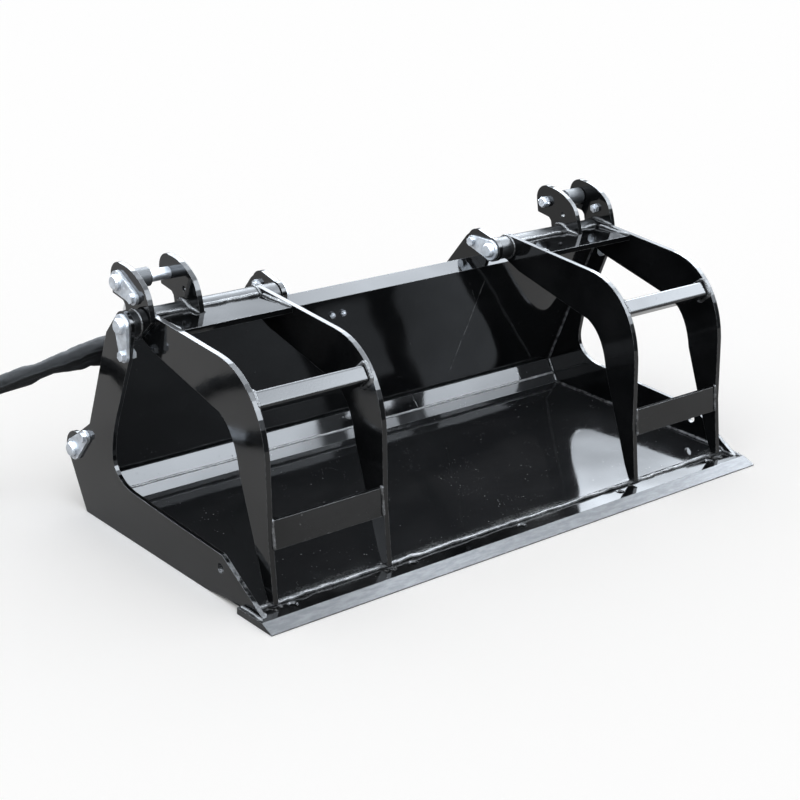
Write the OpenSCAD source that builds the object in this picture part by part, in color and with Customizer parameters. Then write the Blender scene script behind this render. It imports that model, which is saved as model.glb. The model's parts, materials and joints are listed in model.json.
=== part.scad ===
// Grapple bucket for a compact loader: a welded bucket with two independent hydraulic grapples.
// Millimetres. X runs across the bucket, -Y is the cutting edge, +Z is up, Z = 0 is the ground.

/* [Bucket] */
// Width over the cutting edge
edge_w = 1200; // [1160:10:1600]
// How far the cutting edge stands out past each side plate
edge_overhang = 10; // [4:1:20]
// Depth of the cutting edge, front to back
edge_depth = 95; // [80:1:120]
// Thickness of the cutting edge
edge_t = 12; // [10:1:16]
// Depth of the bevel on the cutting edge
bevel_depth = 27; // [15:1:35]
// Thickness left at the tip of the bevel
bevel_tip = 2; // [1:0.5:4]
// Thickness of the side plates
side_t = 8; // [6:1:12]
// Thickness of the floor and back sheets
sheet_t = 6; // [4:1:8]
// How far back the floor sheet's front edge sits
floor_front = 68; // [60:1:80]
// How far back the floor sheet bends up
floor_back = 543; // [500:1:560]
// Radius of the tie-down hole in each side plate
tie_hole_r = 8.5; // [6:0.5:12]

/* [Edge bolts] */
// Number of countersunk holes in the cutting edge
bolt_n = 5; // [3:1:5]
// Distance between those holes
bolt_pitch = 260; // [120:5:270]
// Radius of those holes
bolt_hole_r = 6.5; // [5:0.5:7]
// Outer radius of their countersinks
bolt_sink_r = 9; // [8:0.5:12]
// Distance of the holes behind the tip
bolt_y = 50; // [44:1:54]

/* [Wear strips] */
// Width of each wear strip under the floor
wear_w = 50; // [30:1:80]
// Length of each wear strip
wear_len = 400; // [200:5:440]
// Distance of each wear strip in from the side plate
wear_inset = 0; // [0:1:100]

/* [Pivots] */
// Radius of every pin
pin_r = 11; // [9:0.5:13]
// Height of the grapple pivot above the ground
pivot_z = 395; // [390:1:400]
// Distance of the grapple pivot behind the tip
pivot_y = 443; // [438:1:446]
// Outer radius of the grapple's pivot pipe
pipe_r = 22; // [20:0.5:23]
// Inner radius of the pivot pipe, where the bushes sit
pipe_bore_r = 15; // [14:0.25:16.5]
// Length of each bush
bush_len = 50; // [30:1:60]
// Thickness of the pin flags
flag_t = 6; // [4:1:8]
// Radius of a flag's big end
flag_big_r = 20; // [17:0.5:22]
// Radius of a flag's small end
flag_small_r = 12; // [10:0.5:13]
// Distance from the pin to the flag's bolt
flag_reach = 52; // [46:1:56]
// Height of the pin's head on its flag
head_t = 8; // [5:0.5:9]
// Radius of the flag bolts
bolt_r = 5; // [4:0.5:6]

/* [Grapples] */
// Thickness of the arms and ears
arm_t = 10; // [8:1:12]
// Distance from the side plate to the outer arm
arm_inset = 26; // [24:1:30]
// Width over one grapple's two arms
grapple_w = 251; // [230:1:260]
// Distance between a grapple's two ears, outer faces
ear_gap = 88; // [80:1:96]
// How far the pivot pipe stands out past the inner arm
pipe_stub = 31; // [20:1:40]
// Side of the square cross tube
tube_side = 30; // [25:1:35]
// Wall of the square cross tube
tube_wall = 3; // [2:0.5:4]
// Outer radius of its corners
tube_corner = 5; // [4.5:0.5:6]
// Height of the flat cross bar
bar_h = 50; // [40:1:60]
// Thickness of the flat cross bar
bar_t = 8; // [6:1:10]
// Thickness of the top plate
top_t = 10; // [6:1:12]

/* [Hinge ribs] */
// Thickness of the hinge ribs and cylinder lugs
rib_t = 10; // [8:1:10]
// Radius of the hitch's bar seat
hook_r = 16; // [12:0.5:18]
// Radius of the hitch's lock-pin hole
lock_r = 13; // [10:0.5:15]

/* [Cylinders] */
// Outer radius of the barrel
barrel_r = 25; // [23:0.5:27]
// Bore radius of the barrel
bore_r = 20; // [16:0.5:21]
// Radius of the rod
rod_r = 12.5; // [10:0.5:14]
// Radius of the rod eye
eye_r = 17; // [15:0.5:20]
// Width of the rod eye and base eye
eye_w = 44; // [36:1:48]
// Outer radius of the base eye
base_eye_r = 30; // [28:0.5:32]
// Radius of the open hole in the base eye
base_hole_r = 22; // [21.5:0.25:23]
// Length of the barrel from the base pin to its mouth
barrel_len = 255; // [230:1:258]
// Length of the gland inside the barrel
gland_len = 25; // [15:1:35]
// Length of the piston
piston_len = 24; // [15:1:30]

/* [Hydraulics] */
// Radius of the cylinder hoses
hose_r = 7; // [5:0.5:8]
// Radius of the sleeve over the two supply hoses
sleeve_r = 17; // [14:0.5:18]
// Radius of the coil's centreline
coil_r = 180; // [170:5:200]
// Distance of the hose clip from the middle of the bucket
clip_x = 100; // [60:5:110]
// Height of the hose clip on the back sheet
clip_z = 320; // [310:1:330]
// Width of the hose clip
clip_w = 44; // [40:1:50]

/* [Hidden] */
$fn = 64;

// Clearances
run_gap = 0.06;
seat_gap = 0.1;
face_gap = 0.4;
end_gap = 2;
big = 2000;

// Planes across the bucket
side_x = edge_w / 2 - edge_overhang;
side_in = side_x - side_t;
floor_top = edge_t + sheet_t;
arm_out_x = side_in - arm_inset;
arm_in_x = arm_out_x - grapple_w + arm_t;
ear_in_x = arm_out_x - ear_gap;
pipe_end = side_in - end_gap;
pipe_in = arm_in_x - arm_t - pipe_stub;
rib_x = pipe_in - end_gap - rib_t;

// Pivots in the Y, Z plane
pivot = [pivot_y, pivot_z];
rod_pivot = pivot + [48, 61];
base_pivot = [613, 114];
lug_r = 32;
head_r = 24;
pivot_flag_turn = -98;
rod_flag_turn = -162;
base_flag_turn = 138;
rib_flag_turn = 7;

// Bent sheets: the faces seen from inside the bucket
weld_line = [floor_back + 11, floor_top + 19];
strip_top = [floor_back + 28, floor_top + 47];
lip_front = [461, 356];
lip_back = [492, 370];
floor_back_edge = [floor_back, floor_top];
floor_face = [[floor_front, floor_top], floor_back_edge, weld_line];
back_face = [weld_line, strip_top, lip_front, lip_back];

function unit(v) = v / norm(v);
function left_of(v) = [-v[1], v[0]];
function line_normal(a, b) = left_of(unit(b - a));
// The point that lies d to the left of both lines through b, on the way from a to c
function mitre(a, b, c, d) =
    let (n1 = line_normal(a, b), n2 = line_normal(b, c))
    b + (n1 + n2) * d / (1 + n1 * n2);
function offset_face(p, d) =
    let (last = len(p) - 1)
    [for (i = [0:last])
        i == 0 ? p[0] + line_normal(p[0], p[1]) * d
        : i == last ? p[last] + line_normal(p[last - 1], p[last]) * d
        : mitre(p[i - 1], p[i], p[i + 1], d)];
function reversed(p) = [for (i = [len(p) - 1:-1:0]) p[i]];
back_rear = offset_face(back_face, -sheet_t);
floor_rear = offset_face(floor_face, -sheet_t);
// Both sheets end on the same plane through the crease
weld_rear = mitre(floor_back_edge, weld_line, strip_top, -sheet_t);

function arc(c, r, a0, a1, n) = [for (i = [0:n]) c + r * [cos(a0 + (a1 - a0) * i / n), sin(a0 + (a1 - a0) * i / n)]];
function bezier(p, n) =
    [for (i = [0:n])
        let (t = i / n, s = 1 - t)
        s * s * s * p[0] + 3 * s * s * t * p[1] + 3 * s * t * t * p[2] + t * t * t * p[3]];

// Shapes drawn in the Y, Z plane and made thick along X
module slab(x, t) translate([x, 0, 0]) rotate([90, 0, 90]) linear_extrude(t) children();
module at(p) translate(p) children();
module rod_x(x0, x1, p, r) translate([x0, p[0], p[1]]) rotate([0, 90, 0]) cylinder(r = r, h = x1 - x0);
module hex_x(x0, x1, p, r) translate([x0, p[0], p[1]]) rotate([0, 90, 0]) cylinder(r = r, h = x1 - x0, $fn = 6);
module right() mirror([1, 0, 0]) children();
// Moves the origin from the cutting edge's tip to the middle of the bucket's footprint
module placed() translate([0, -(base_pivot[0] + lug_r) / 2, 0]) children();

paint = "#1b1d1f";
zinc = "#c9ccd0";

// Bucket
module edge_hole(x) {
    at([x, bolt_y, -1]) cylinder(r = bolt_hole_r, h = edge_t + 2);
    at([x, bolt_y, edge_t - (bolt_sink_r - bolt_hole_r)])
        cylinder(r1 = bolt_hole_r, r2 = bolt_sink_r + 0.01, h = bolt_sink_r - bolt_hole_r + 0.01);
}

module cutting_edge() color(paint) placed()
    difference() {
        slab(-edge_w / 2, edge_w)
            polygon([[0, 0], [edge_depth, 0], [edge_depth, edge_t], [bevel_depth, edge_t], [0, bevel_tip]]);
        for (i = [0:bolt_n - 1]) edge_hole((i - (bolt_n - 1) / 2) * bolt_pitch);
    }

module floor_sheet() color(paint) placed() slab(-side_in, 2 * side_in)
    polygon(concat(floor_face, [weld_rear, floor_rear[1], floor_rear[0]]));

module back_sheet() color(paint) placed() difference() {
    slab(-side_in, 2 * side_in) polygon(concat(back_face, [back_rear[3], back_rear[2], back_rear[1], weld_rear]));
    for (x = clip_bolt_x) on_back_rear(x, clip_z) translate([0, 0, -2 * sheet_t])
        cylinder(r = clip_bolt_r + seat_gap, h = 3 * sheet_t);
}

head_side_r = head_r + 1;
side_outline = concat(
    [[580, 0], [199, 0], [edge_depth, edge_t], [37, edge_t], [152, 80], [300, 86], [400, 92]],
    bezier([[420, 93], [462, 96], [489, 116], [487, 152]], 10),
    [[482, 186], [472, 218], [441, 299], [428, 334], [pivot_y - head_side_r + 1, pivot_z - 14]],
    [pivot + head_side_r * [cos(45), sin(45)], [498, 368], [545, 228], [562, 178], [606, 145], [644, 108], [632, 88]]);
tie_hole = [156, 55];

module side_plate() difference() {
    union() {
        slab(-side_x, side_t) {
            polygon(side_outline);
            at(pivot) circle(head_side_r);
            at(base_pivot) circle(lug_r);
        }
        rod_x(-side_x + 0.01, -lug_gap_out - face_gap, base_pivot, eye_r);
    }
    rod_x(-side_x - 1, -side_in + 1, pivot, pin_r + seat_gap);
    rod_x(-side_x - 1, -lug_gap_out + 1, base_pivot, pin_r + seat_gap);
    rod_x(-side_x - 1, -side_in + 1, tie_hole, tie_hole_r);
    rod_x(-side_x - 1, -side_in + 1, flag_end(pivot, pivot_flag_turn), bolt_r + seat_gap);
    rod_x(-side_x - 1, -side_in + 1, flag_end(base_pivot, base_flag_turn), bolt_r + seat_gap);
}
module left_side_plate() color(paint) placed() side_plate();
module right_side_plate() color(paint) placed() right() side_plate();

module wear_strips() color(paint) placed()
    for (s = [-1, 1])
        translate([s > 0 ? side_in - wear_inset - wear_w : -side_in + wear_inset, edge_depth, 0])
            cube([wear_w, wear_len, edge_t]);

// Cylinder lugs on the back of the bucket
cyl_x = arm_out_x - end_gap - eye_w / 2;
lug_gap_out = cyl_x + eye_w / 2;
lug_gap_in = cyl_x - eye_w / 2;
lug_spacer = 10;
lug_in_x = lug_gap_in - lug_spacer - rib_t;
function on_back(z) =
    let (a = back_rear[1], b = back_rear[2])
    [a[0] + (b[0] - a[0]) * (z - a[1]) / (b[1] - a[1]), z];

module cylinder_lug() difference() {
    union() {
        slab(-lug_in_x - rib_t, rib_t) {
            polygon([on_back(75), on_back(170), base_pivot + (lug_r - 2) * [cos(80), sin(80)],
                base_pivot, base_pivot + (lug_r - 2) * [cos(250), sin(250)]]);
            at(base_pivot) circle(lug_r - 2);
        }
        rod_x(-lug_gap_in + face_gap, -lug_in_x - 0.01, base_pivot, eye_r);
    }
    rod_x(-lug_gap_in - 1, -lug_in_x + 1, base_pivot, pin_r + seat_gap);
}
module left_cylinder_lug() color(paint) placed() cylinder_lug();
module right_cylinder_lug() color(paint) placed() right() cylinder_lug();

// Hinge ribs: the inner pivot above, a bar hook and a lock-pin hole behind
hook = [600, 250];
lock = [596, 135];
rib_ports = [[552, 297], [578, 297]];
rib_port_r = 11;
lip_rear = back_rear[3];
rib_outline = concat(
    [pivot + head_r * [cos(300), sin(300)], lip_front, lip_back, lip_rear, back_rear[2], on_back(95)],
    [[580, 95], [604, 102], [622, 122], [622, 150], [600, 180], [592, 200], [606, 216], [632, 222], [640, 250]],
    [[634, 272], [574, 336], [517, 408]],
    arc([486, 401], 27, 30, 95, 8),
    [pivot + head_r * [cos(120), sin(120)]]);

module hinge_rib() difference() {
    slab(-rib_x - rib_t, rib_t) {
        polygon(rib_outline);
        at(pivot) circle(head_r);
    }
    rod_x(-rib_x - rib_t - 1, -rib_x + 1, pivot, pin_r + seat_gap);
    rod_x(-rib_x - rib_t - 1, -rib_x + 1, lock, lock_r);
    rod_x(-rib_x - rib_t - 1, -rib_x + 1, hook, hook_r);
    slab(-rib_x - rib_t - 1, rib_t + 2)
        polygon([hook - [hook_r, 0], hook + [hook_r, 0], hook + [hook_r, -100], hook + [-hook_r, -34]]);
    for (p = rib_ports) rod_x(-rib_x - rib_t - 1, -rib_x + 1, p, rib_port_r);
    rod_x(-rib_x - rib_t - 1, -rib_x + 1, flag_end(pivot, rib_flag_turn), bolt_r + seat_gap);
    for (p = block_bolts) rod_x(-rib_x - rib_t - 1, -rib_x + 1, p, bolt_r + seat_gap);
}
module left_hinge_rib() color(paint) placed() hinge_rib();
module right_hinge_rib() color(paint) placed() right() hinge_rib();

// Flag pins: a pin welded into a flag, held by one bolt
flag_blend = 0.3;
function flag_end(p, turn) = p + flag_reach * [cos(turn), sin(turn)];

module flag_shape(turn) {
    a = acos((flag_big_r - flag_small_r) / flag_reach);
    big = flag_big_r - flag_blend;
    small = flag_small_r - flag_blend;
    rotate(turn) difference() {
        union() {
            circle(flag_big_r);
            translate([flag_reach, 0]) circle(flag_small_r);
            polygon([big * [cos(a), sin(a)], big * [cos(a), -sin(a)],
                [flag_reach, 0] + small * [cos(a), -sin(a)], [flag_reach, 0] + small * [cos(a), sin(a)]]);
        }
        translate([flag_reach, 0]) circle(bolt_r + seat_gap);
    }
}

// The flag lies on the plane x, the pin goes to +X and its head stands out to -X
module flag_pin(x, length, p, turn) {
    head_r2 = pin_r + 3;
    slab(x - flag_t, flag_t) at(p) flag_shape(turn);
    translate([x - flag_t - head_t, p[0], p[1]]) rotate([0, 90, 0]) {
        cylinder(r1 = head_r2 - 3, r2 = head_r2, h = 3);
        translate([0, 0, 3]) cylinder(r = head_r2, h = head_t - 3);
    }
    rod_x(x - flag_t - 1, x + length - 3, p, pin_r);
    translate([x + length - 3, p[0], p[1]]) rotate([0, 90, 0]) cylinder(r1 = pin_r, r2 = pin_r - 2.5, h = 3);
}

module flag_pin_turned(x, length, p, turn) translate([2 * x, 0, 0]) mirror([1, 0, 0]) flag_pin(x, length, p, turn);

outer_pin_len = side_t + end_gap + bush_len - 2;
inner_pin_len = rib_t + end_gap + bush_len - 2;
base_pin_len = side_x - lug_in_x + 4;
module outer_pivot_pin() flag_pin(-side_x, outer_pin_len, pivot, pivot_flag_turn);
module inner_pivot_pin() flag_pin_turned(-rib_x, inner_pin_len, pivot, rib_flag_turn);
module base_pin() flag_pin(-side_x, base_pin_len, base_pivot, base_flag_turn);
module left_outer_pivot_pin() color(zinc) placed() outer_pivot_pin();
module left_inner_pivot_pin() color(zinc) placed() inner_pivot_pin();
module right_outer_pivot_pin() color(zinc) placed() right() outer_pivot_pin();
module right_inner_pivot_pin() color(zinc) placed() right() inner_pivot_pin();
module left_base_pin() color(zinc) placed() base_pin();
module right_base_pin() color(zinc) placed() right() base_pin();

// A bolt whose head lies on the plane x, pointing to +X through a grip, with its nut beyond
module bolt_and_nut(x, grip, p) {
    hex_x(x - 6.4, x, p, bolt_r * 1.85);
    rod_x(x - 0.01, x + grip + bolt_r * 2, p, bolt_r);
    difference() {
        hex_x(x + grip, x + grip + bolt_r * 1.6, p, bolt_r * 1.85);
        rod_x(x, x + grip + bolt_r * 2, p, bolt_r + 0.05);
    }
}

module flag_bolts() color(zinc) placed()
    for (s = [0, 1]) mirror([s, 0, 0]) {
        bolt_and_nut(-side_x - flag_t, flag_t + side_t, flag_end(pivot, pivot_flag_turn));
        bolt_and_nut(-side_x - flag_t, flag_t + side_t, flag_end(base_pivot, base_flag_turn));
        translate([-rib_x, 0, 0]) mirror([1, 0, 0])
            bolt_and_nut(-flag_t, flag_t + rib_t, flag_end(pivot, rib_flag_turn));
    }

// Grapple arms
arm_front = bezier([[215, 402], [135, 396], [84, 328], [80, 240]], 14);
arm_back = bezier([[209, 306], [176, 290], [160, 256], [152, 218]], 8);
tip_z = floor_top + 0.8;
tip_front = [55, tip_z];
tip_back = [70, tip_z];
arm_outline = concat(
    [pivot + head_r * [cos(94), sin(94)]],
    arm_front,
    [[72, 130], tip_front, tip_back, [84, 46], [105, 100]],
    reversed(arm_back),
    [[405, 353], pivot + head_r * [cos(300), sin(300)], pivot]);

module arm(x) difference() {
    slab(-x, arm_t) {
        polygon(arm_outline);
        at(pivot) circle(head_r);
    }
    rod_x(-x - 1, -x + arm_t + 1, pivot, pipe_r + 0.05);
}
module outer_arm() arm(arm_out_x);
module inner_arm() arm(arm_in_x);

// Pivot pipe with its bushes
module pivot_pipe() difference() {
    rod_x(-pipe_end, -pipe_in, pivot, pipe_r);
    rod_x(-pipe_end - 1, -pipe_in + 1, pivot, pipe_bore_r);
}

module pivot_bushes()
    for (x = [-pipe_end, -pipe_in - bush_len]) difference() {
        rod_x(x, x + bush_len, pivot, pipe_bore_r - 0.02);
        rod_x(x - 1, x + bush_len + 1, pivot, pin_r + run_gap);
    }

// Members between the arms
inner_a = arm_out_x - arm_t;
inner_b = arm_in_x;
span = inner_a - inner_b;
top_front = 333;
top_face = 408;
module top_plate() difference() {
    slab(-inner_a, span) translate([top_front, top_face - top_t]) square([pivot_y - top_front, top_t]);
    rod_x(-inner_a - 1, -inner_b + 1, pivot, pipe_r + 0.05);
}

tube_mid = [134, 342];
tube_turn = 49.5;
function round_square(side, r) =
    [for (i = [0:3]) each arc((side / 2 - r) * [i == 0 || i == 3 ? 1 : -1, i < 2 ? 1 : -1], r, 90 * i, 90 * (i + 1), 4)];
module cross_tube() slab(-inner_a, span) at(tube_mid) rotate(tube_turn) difference() {
    polygon(round_square(tube_side, tube_corner));
    polygon(round_square(tube_side - 2 * tube_wall, tube_corner - tube_wall));
}

bar_foot = [69, 108];
bar_turn = -8;
module cross_bar() slab(-inner_a, span) at(bar_foot) rotate(bar_turn) square([bar_t, bar_h]);

// Cylinder ears
ear_top = concat(
    bezier([pivot + [-50, 13], pivot + [-45, 35], pivot + [-37.3, 59.8], pivot + [-23.1, 70.9]], 7),
    arc(pivot + [44, -15], 109, 120, 90, 5),
    arc(rod_pivot + [1, 7], 27, 85, -10, 8),
    [pivot + [70, 36], pivot + [37, 31], pivot + [31, 25]]);
ear_bolt = flag_end(rod_pivot, rod_flag_turn);

module ear_holes(x) {
    rod_x(-x - 1, -x + arm_t + 1, rod_pivot, pin_r + seat_gap);
    rod_x(-x - 1, -x + arm_t + 1, ear_bolt, bolt_r + seat_gap);
}

module outer_ear() difference() {
    slab(-arm_out_x - arm_t, arm_t) {
        polygon(concat(ear_top, [pivot + [head_r + 1, 2], pivot, [pivot_y - 18, pivot_z - 18]]));
        at(pivot) circle(head_r + 2);
    }
    rod_x(-arm_out_x - arm_t - 1, -arm_out_x + 1, pivot, pipe_r + 0.05);
    ear_holes(arm_out_x + arm_t);
}

module inner_ear() difference() {
    slab(-ear_in_x, arm_t) difference() {
        polygon(concat(ear_top, [pivot + [26, 4], pivot]));
        at(pivot) circle(pipe_r + 0.05);
        translate([0, top_face - big]) square([pivot_y, big]);
    }
    ear_holes(ear_in_x);
}

rod_pin_len = arm_out_x + arm_t - ear_in_x + arm_t + 14;
module on_cross_pin() translate([-ear_in_x + arm_t + 6, rod_pivot[0], rod_pivot[1]]) rotate([90, 0, 0]) children();
module rod_pin() difference() {
    flag_pin(-arm_out_x - arm_t, rod_pin_len, rod_pivot, rod_flag_turn);
    on_cross_pin() cylinder(r = 2.1, h = 2 * pin_r + 10, center = true);
}

module rod_pin_fasteners() {
    bolt_and_nut(-arm_out_x - arm_t - flag_t, flag_t + arm_t, ear_bolt);
    on_cross_pin() cylinder(r = 2, h = 2 * pin_r + 10, center = true);
}

// Hydraulic cylinder: the origin is the base pin and local Z runs to the rod pin
cyl_len = norm(rod_pivot - base_pivot);
cyl_tilt = atan2(base_pivot[0] - rod_pivot[0], rod_pivot[1] - base_pivot[1]);
collar_len = 12;
mouth = barrel_len - collar_len;
bore_floor = 46;
piston_top = mouth - gland_len - 14;
base_port = 60;
rod_port = piston_top + 7;
port_reach = 60;
module on_cylinder() translate([-cyl_x, base_pivot[0], base_pivot[1]]) rotate([cyl_tilt, 0, 0]) children();

module barrel() on_cylinder() difference() {
    union() {
        translate([-eye_w / 2, 0, 0]) rotate([0, 90, 0]) cylinder(r = base_eye_r, h = eye_w);
        translate([0, 0, base_eye_r - 4]) cylinder(r = barrel_r, h = mouth - base_eye_r + 4);
        for (z = [base_port, rod_port]) translate([bore_r + 1, 0, z]) rotate([0, 90, 0]) cylinder(r = 11, h = 14);
    }
    translate([-eye_w, 0, 0]) rotate([0, 90, 0]) cylinder(r = base_hole_r, h = 2 * eye_w);
    translate([0, 0, bore_floor]) cylinder(r = bore_r, h = mouth);
    for (z = [base_port, rod_port]) translate([0, 0, z]) rotate([0, 90, 0]) cylinder(r = 5, h = 2 * barrel_r);
}

module gland() on_cylinder() difference() {
    union() {
        translate([0, 0, mouth]) cylinder(r = barrel_r - 1, h = collar_len);
        translate([0, 0, mouth - gland_len]) cylinder(r = bore_r - 0.05, h = gland_len);
    }
    translate([0, 0, mouth - gland_len - 1]) cylinder(r = rod_r + run_gap, h = gland_len + collar_len + 2);
}

stub_r = 8;
module piston() on_cylinder() {
    translate([0, 0, piston_top - piston_len]) difference() {
        cylinder(r = bore_r - run_gap, h = piston_len);
        translate([0, 0, -1]) cylinder(r = stub_r + 0.05, h = piston_len + 2);
    }
    translate([0, 0, piston_top - piston_len - 8]) difference() {
        cylinder(r = 13, h = 8, $fn = 6);
        translate([0, 0, -1]) cylinder(r = stub_r + 0.05, h = 10);
    }
}

module rod() on_cylinder() difference() {
    union() {
        translate([0, 0, piston_top - piston_len - 9]) cylinder(r = stub_r, h = piston_len + 10);
        translate([0, 0, piston_top]) cylinder(r = rod_r, h = cyl_len - piston_top - eye_r + 6);
        translate([-eye_w / 2, 0, cyl_len]) rotate([0, 90, 0]) cylinder(r = eye_r, h = eye_w);
    }
    translate([-eye_w, 0, cyl_len]) rotate([0, 90, 0]) cylinder(r = pin_r + run_gap, h = 2 * eye_w);
}

// Straight fittings screwed into the barrel's ports
module port_fittings() on_cylinder()
    for (z = [base_port, rod_port]) translate([bore_r + 15, 0, z]) rotate([0, 90, 0]) {
        cylinder(r = 10, h = 9, $fn = 6);
        translate([0, 0, 8.99]) cylinder(r = hose_r + 1, h = port_reach - bore_r - 24);
    }
function on_axis(z) = base_pivot + z * unit(rod_pivot - base_pivot);

// Manifold block on the left rib, with its fittings
block_x = [rib_x + rib_t, rib_x + rib_t + 50];
block_y = [526, 594];
block_z = [272, 322];
block_bolts = [[534, 281], [534, 313]];
module manifold_block() color("#3a3d40") placed() difference() {
    translate([-block_x[1], block_y[0], block_z[0]])
        cube([block_x[1] - block_x[0], block_y[1] - block_y[0], block_z[1] - block_z[0]]);
    for (p = block_bolts) rod_x(-block_x[1] - 1, -block_x[0] + 1, p, bolt_r + seat_gap);
}

supply_ports = [[580, 287], [580, 307]];
left_rod_port = [556, 309];
left_base_port = [556, 285];
supply_len = 35;
fit_len = 18;
module fitting(n) {
    cylinder(r = 9, h = 8, $fn = 6);
    translate([0, 0, 7.99]) cylinder(r = hose_r + 1, h = n - 7.99);
}
module manifold_fittings() color(zinc) placed() {
    for (p = supply_ports) translate([-block_x[1], p[0], p[1]]) rotate([0, -90, 0]) fitting(supply_len);
    for (p = [left_rod_port, left_base_port]) translate([-block_x[1], p[0], p[1]]) rotate([0, -90, 0]) fitting(fit_len);
    for (p = rib_ports) translate([-block_x[0], p[0], p[1]]) rotate([0, 90, 0]) fitting(rib_t + fit_len);
}

// Clip that holds the two long hoses against the back sheet's rear face
back_lean = atan2(strip_top[0] - lip_front[0], lip_front[1] - strip_top[1]);
clip_lift = hose_r + 3;
clip_pitch = 22;
clip_bolt_r = 3;
clip_bolt_x = [-clip_x - 13, -clip_x + 13];
module on_back_rear(x, z) translate([x, on_back(z)[0], z]) rotate([back_lean - 90, 0, 0]) children();
function clip_hose(side) =
    on_back(clip_z) + clip_lift * [cos(back_lean), sin(back_lean)] + side * clip_pitch / 2 * [-sin(back_lean), cos(back_lean)];

module hose_clip() color("#2a2c2e") placed() on_back_rear(-clip_x, clip_z) difference() {
    translate([-clip_w / 2, -clip_pitch, 0]) cube([clip_w, 2 * clip_pitch, 2 * clip_lift]);
    for (s = [-1, 1]) translate([-clip_w, s * clip_pitch / 2, clip_lift]) rotate([0, 90, 0])
        cylinder(r = hose_r + seat_gap, h = 2 * clip_w);
    for (x = [-13, 13]) translate([x, 0, -1]) cylinder(r = clip_bolt_r + seat_gap, h = 2 * clip_lift + 2);
}

module hydraulic_bolts() color(zinc) placed() {
    for (p = block_bolts) bolt_and_nut(-block_x[1], block_x[1] - rib_x, p);
    for (x = clip_bolt_x) on_back_rear(x, clip_z) {
        translate([0, 0, 2 * clip_lift]) cylinder(r = 5.6, h = 4, $fn = 6);
        translate([0, 0, -sheet_t - 6]) cylinder(r = clip_bolt_r, h = 2 * clip_lift + sheet_t + 6.01);
        translate([0, 0, -sheet_t - 5]) difference() {
            cylinder(r = 5.6, h = 5, $fn = 6);
            translate([0, 0, -1]) cylinder(r = clip_bolt_r + 0.05, h = 7);
        }
    }
}

// Hoses: tubes swept along smooth lines through a few chosen points
function turn_to(v, t) = unit(v - (v * t) * t);
function tangents(p) =
    let (last = len(p) - 1)
    [for (i = [0:last]) unit(p[min(i + 1, last)] - p[max(i - 1, 0)])];
function normals(t, i, v) = i == len(t) ? [] : let (n = turn_to(v, t[i])) concat([n], normals(t, i + 1, n));
function ring(c, n, b, r, sides) = [for (k = [0:sides - 1]) c + r * (cos(360 * k / sides) * n + sin(360 * k / sides) * b)];
function catmull(a, b, c, d, t) =
    0.5 * (2 * b + (c - a) * t + (2 * a - 5 * b + 4 * c - d) * t * t + (3 * b - a - 3 * c + d) * t * t * t);
function smooth_line(p, k) =
    let (last = len(p) - 1)
    concat([for (i = [0:last - 1], j = [0:k - 1])
        catmull(i == 0 ? 2 * p[0] - p[1] : p[i - 1], p[i], p[i + 1],
            i + 2 > last ? 2 * p[last] - p[last - 1] : p[i + 2], j / k)], [p[last]]);

module tube(p, r, sides) {
    t = tangents(p);
    n = normals(t, 0, abs(t[0][2]) > 0.9 ? [1, 0, 0] : [0, 0, 1]);
    count = len(p);
    points = [for (i = [0:count - 1]) each ring(p[i], n[i], cross(t[i], n[i]), r, sides)];
    walls = [for (i = [0:count - 2], k = [0:sides - 1])
        let (a = i * sides + k, b = i * sides + (k + 1) % sides)
        each [[a, a + sides, b], [b, a + sides, b + sides]]];
    polyhedron(points, concat([[for (k = [0:sides - 1]) k]],
        [[for (k = [sides - 1:-1:0]) (count - 1) * sides + k]], walls));
}

hose_gap = 0.3;
port_x = cyl_x - port_reach;
base_port_at = on_axis(base_port);
rod_port_at = on_axis(rod_port);
// The hoses' first free points lie at their ports' places in whole millimetres
function past(p, y = 0, z = 0) = [round(p[0]) + y, round(p[1]) + z];
function beside(x, p) = [x, p[0], p[1]];
block_end = -block_x[1] - fit_len - hose_gap;
rib_end = -rib_x + fit_len + hose_gap;
// The straight end of a hose: three points in line from x, going to x + way
function hose_end(x, way, p) = [for (i = [0:2]) [x + way * i / 2, p[0], p[1]]];
function clip_run(side) = [for (x = [-40, -24, 24, 40]) [x - clip_x, clip_hose(side)[0], clip_hose(side)[1]]];
left_base_line = concat([beside(-port_x + hose_gap, base_port_at), beside(20 - port_x, past(base_port_at)),
    [44 - port_x, 590, 178], [62 - port_x, 582, 200], [72 - port_x, 572, 230], [84 - port_x, 562, 262],
    [block_end - 32, left_base_port[0] + 1, left_base_port[1] - 5]], reversed(hose_end(block_end, -14, left_base_port)));
left_rod_line = concat([beside(-port_x + hose_gap, rod_port_at), beside(22 - port_x, past(rod_port_at)),
    beside(52 - port_x, past(rod_port_at, 3)), beside(87 - port_x, past(rod_port_at, 9, -1))],
    reversed(hose_end(block_end, -14, left_rod_port)));
right_rod_line = concat(hose_end(rib_end, 14, rib_ports[0]), [[rib_end + 30, 547, 300],
    [rib_end + 60, 524, 312]], clip_run(1), [[-20, 490, 330], [60, 505, 321], [140, 525, 311], [rib_x - 42, 545, 300],
    [rib_x, 552, 297], [rib_x + 38, 553, 299], [rib_x + 78, 550, 304], [rib_x + 138, 544, 311],
    beside(port_x - 32, past(rod_port_at)), beside(port_x - hose_gap, rod_port_at)]);
right_base_line = concat(hose_end(rib_end, 14, rib_ports[1]), [[rib_end + 32, 572, 297],
    [rib_end + 62, 544, 303]], clip_run(-1), [[-20, 498, 310], [60, 515, 304], [140, 542, 300], [rib_x - 42, 570, 298],
    [rib_x, 578, 297], [rib_x + 38, 581, 290], [rib_x + 78, 584, 262], [rib_x + 113, 588, 225],
    [rib_x + 148, 591, 190], beside(port_x - 32, past(base_port_at, 0, 2)), beside(port_x - hose_gap, base_port_at)]);
hose_sides = 8;
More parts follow.
